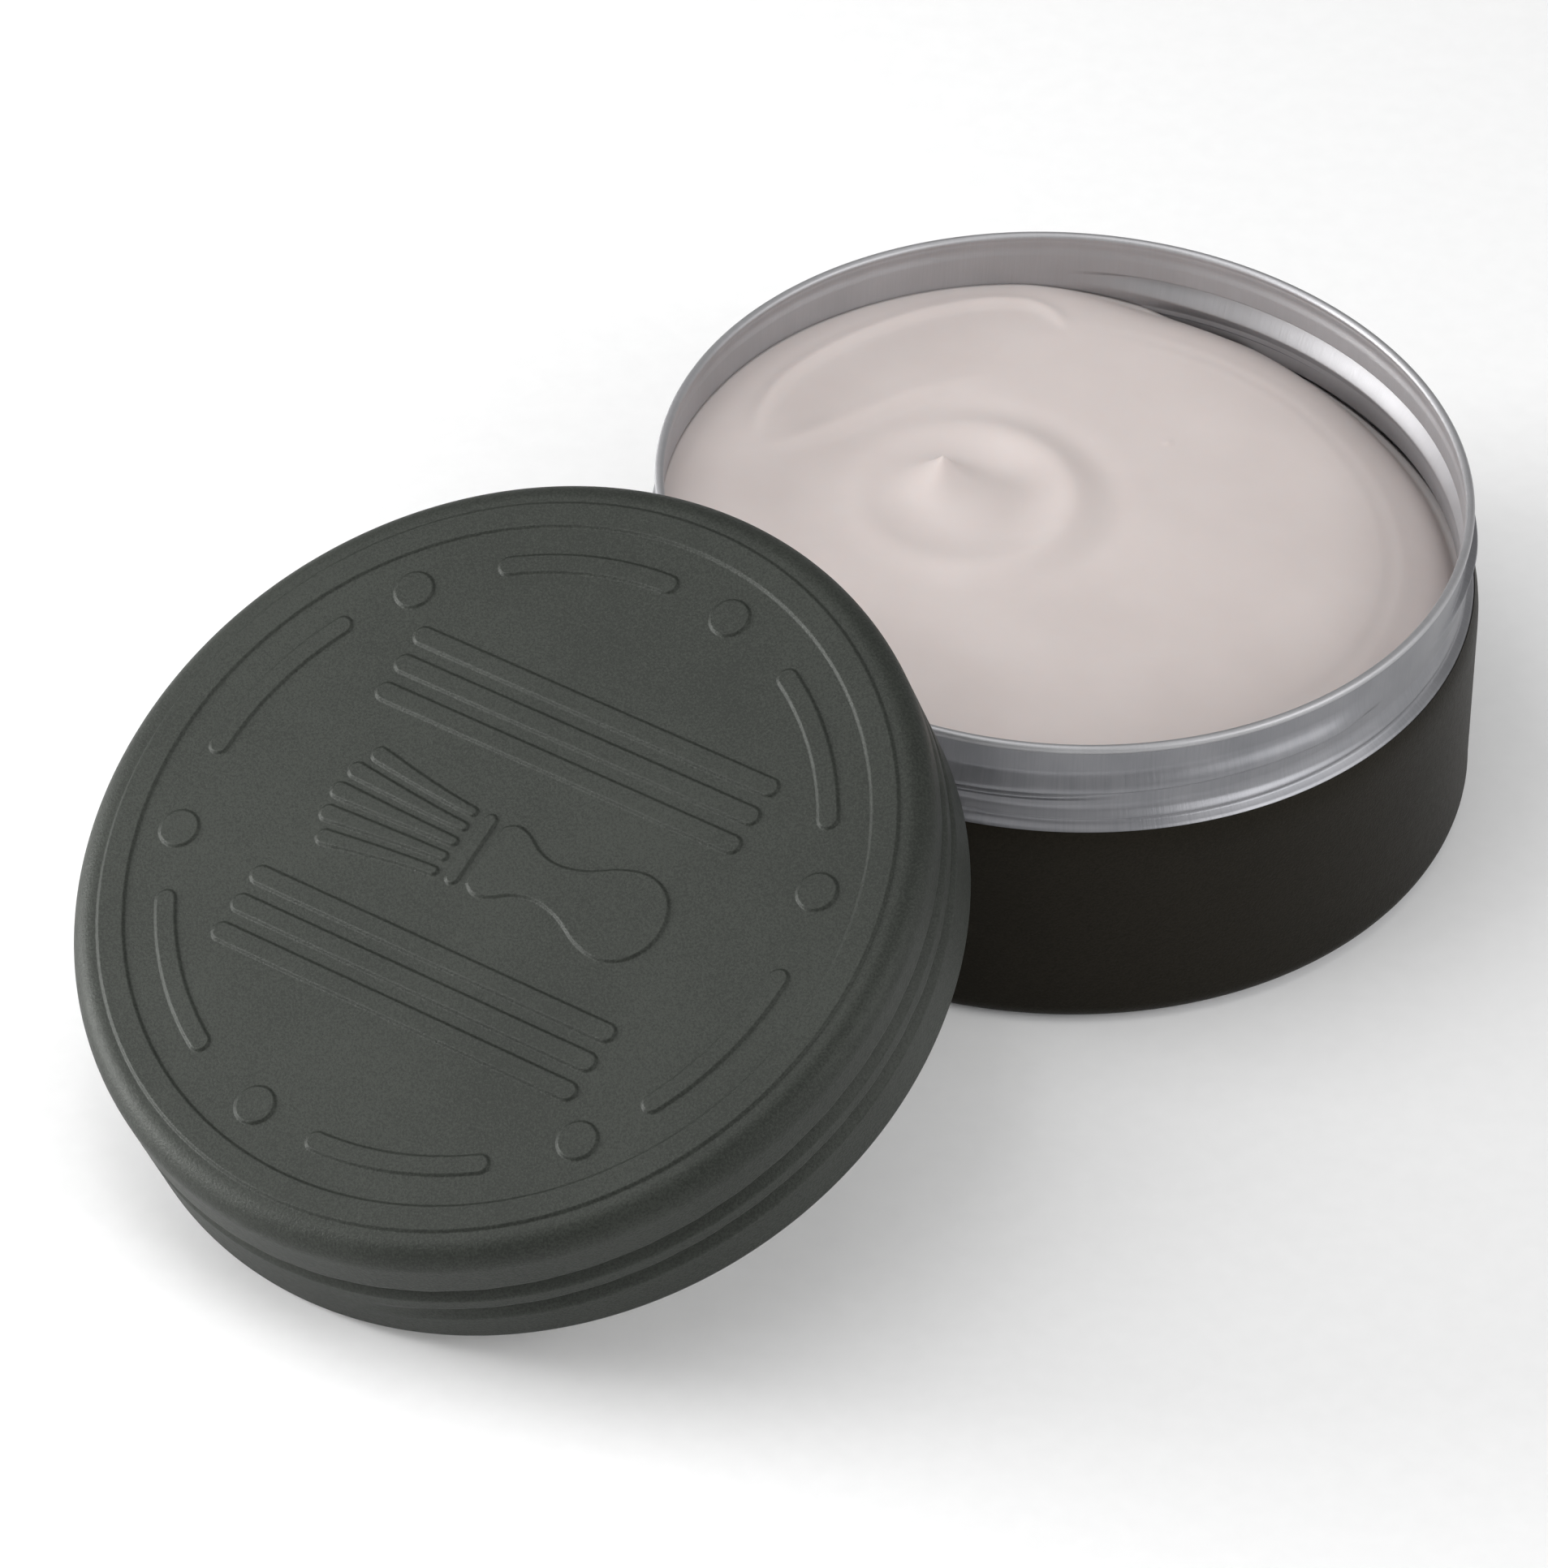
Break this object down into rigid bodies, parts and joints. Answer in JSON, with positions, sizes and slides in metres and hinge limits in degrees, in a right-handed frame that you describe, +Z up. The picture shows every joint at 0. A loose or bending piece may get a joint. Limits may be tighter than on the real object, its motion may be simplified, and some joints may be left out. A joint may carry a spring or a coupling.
{
  "type": "shaving soap puck",
  "caption": "Round screw-top aluminium tin of shaving soap with its embossed lid off and leaning on the tin's rim.",
  "frame": {"origin": "centre of the tin's flat base, on the surface it stands on", "axes": "+Z up along the tin's axis, -Y the front, the lid leans on the tin's rim at the front left"},
  "size_m": [0.1328, 0.1375, 0.0477],
  "materials": {
    "bare_aluminium": "satin, fine vertical drawing grain",
    "tin_enamel": "matt baked enamel, dark olive",
    "lid_enamel": "matt soft-touch enamel with a fine grain, olive grey",
    "soap": "satin cream, smoothed by hand",
    "liner_foam": "matt closed-cell foam"
  },
  "bodies": {
    "tin": {"tin_body": "bare_aluminium", "tin_enamel": "tin_enamel", "soap_puck": "soap"},
    "liner": {"lid_liner": "liner_foam"},
    "lid": {"lid_shell": "bare_aluminium", "lid_enamel": "lid_enamel"}
  },
  "joints": [
    {"name": "lid_lift", "type": "slide", "parent": "tin", "child": "liner", "axis": [-0.2812, -0.3091, 0.9085], "range_m": [0, 0.05]},
    {"name": "lid_turn", "type": "hinge", "parent": "liner", "child": "lid", "pos_m": [-0.04766, -0.05238, 0.01738], "axis": [-0.2812, -0.3091, 0.9085], "continuous": true}
  ]
}
